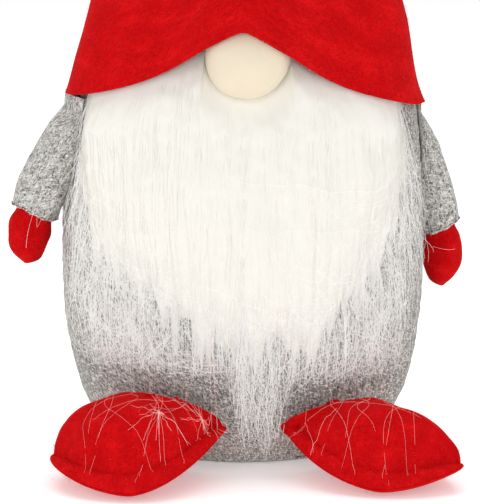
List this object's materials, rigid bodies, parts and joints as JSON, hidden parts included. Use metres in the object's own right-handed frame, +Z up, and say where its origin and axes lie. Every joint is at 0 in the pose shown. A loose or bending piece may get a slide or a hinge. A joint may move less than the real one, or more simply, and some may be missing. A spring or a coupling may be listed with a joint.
{
  "type": "tomte gnome figurine",
  "caption": "Standing felt gnome with a tall pointed hat over its eyes, a ball nose, a long-pile beard, hanging mittened arms and big stuffed feet.",
  "frame": {"origin": "middle of the base disc's underside, on the surface that the gnome stands on", "axes": "+Z up along the body to the hat's tip; the gnome faces -Y; its own left hand is on the +X side"},
  "size_m": [0.2489, 0.213, 0.456],
  "materials": {
    "grey_felt": "melange wool-look felt, matte, fuzzy",
    "red_felt": "thick red felt, matte, slightly mottled",
    "cream_fleece": "smooth cream knitted fleece",
    "fur_pile": "long straight glossy white pile",
    "fur_backing": "knitted white backing cloth",
    "fibre_fill": "loose polyester fibre filling",
    "linen": "plain woven bag filled with granules",
    "card": "plain grey-brown card",
    "dark_thread": "sewing thread"
  },
  "bodies": {
    "gnome": {"body_front_panel": "grey_felt", "body_back_panel": "grey_felt", "body_base_disc": "grey_felt", "base_card": "card", "weight_bag": "linen", "body_stuffing": "fibre_fill", "beard_backing": "fur_backing", "beard_pile": "fur_pile", "nose_cover": "cream_fleece", "nose_stuffing": "fibre_fill", "hat_front_panel": "red_felt", "hat_back_panel": "red_felt", "hat_stuffing": "fibre_fill", "left_shoulder_thread": "dark_thread", "left_foot_thread": "dark_thread", "right_shoulder_thread": "dark_thread", "right_foot_thread": "dark_thread"},
    "left_arm": {"left_sleeve": "grey_felt", "left_mitten": "red_felt", "left_arm_stuffing": "fibre_fill"},
    "right_arm": {"right_sleeve": "grey_felt", "right_mitten": "red_felt", "right_arm_stuffing": "fibre_fill"},
    "left_foot": {"left_foot_upper": "red_felt", "left_foot_sole": "red_felt", "left_foot_stuffing": "fibre_fill"},
    "right_foot": {"right_foot_upper": "red_felt", "right_foot_sole": "red_felt", "right_foot_stuffing": "fibre_fill"}
  },
  "joints": [
    {"name": "left_arm_raise", "type": "hinge", "parent": "gnome", "child": "left_arm", "pos_m": [0.0913, 0.024, 0.183], "axis": [0, -1, 0], "range_deg": [0, 40]},
    {"name": "right_arm_raise", "type": "hinge", "parent": "gnome", "child": "right_arm", "pos_m": [-0.0919, -0.02, 0.1875], "axis": [0, 1, 0], "range_deg": [0, 40]},
    {"name": "left_foot_tilt", "type": "hinge", "parent": "gnome", "child": "left_foot", "pos_m": [0.064, -0.046, 0.002], "axis": [-1, 0, 0], "range_deg": [0, 12]},
    {"name": "right_foot_tilt", "type": "hinge", "parent": "gnome", "child": "right_foot", "pos_m": [-0.056, -0.046, 0.002], "axis": [-1, 0, 0], "range_deg": [0, 12]}
  ]
}
